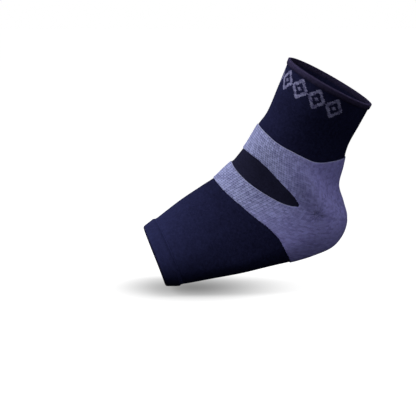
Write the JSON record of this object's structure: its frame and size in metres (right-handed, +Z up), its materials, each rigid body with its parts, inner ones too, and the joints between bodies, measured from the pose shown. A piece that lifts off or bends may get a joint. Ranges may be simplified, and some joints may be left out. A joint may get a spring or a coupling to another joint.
{
  "type": "ankle support",
  "caption": "Seamless knitted ankle sleeve, open at cuff and toes, with firm bands and heel around a thin window over the instep.",
  "frame": {"origin": "middle of the ankle joint inside the sleeve, where the ankle holds it", "axes": "+Z up, +X from the toes to the heel, +Y from the outer side of the left foot to its inner side"},
  "size_m": [0.1918, 0.0919, 0.19],
  "materials": {
    "welt_knit": "matt ribbed knit",
    "tube_knit": "matt fine knit",
    "firm_knit": "matt heather knit",
    "window_knit": "matt thin knit"
  },
  "bodies": {
    "root": {"cuff_welt": "welt_knit", "ankle_tube": "tube_knit", "support_wrap": "firm_knit", "instep_window": "window_knit", "foot_tube": "tube_knit", "toe_welt": "welt_knit"}
  },
  "joints": []
}
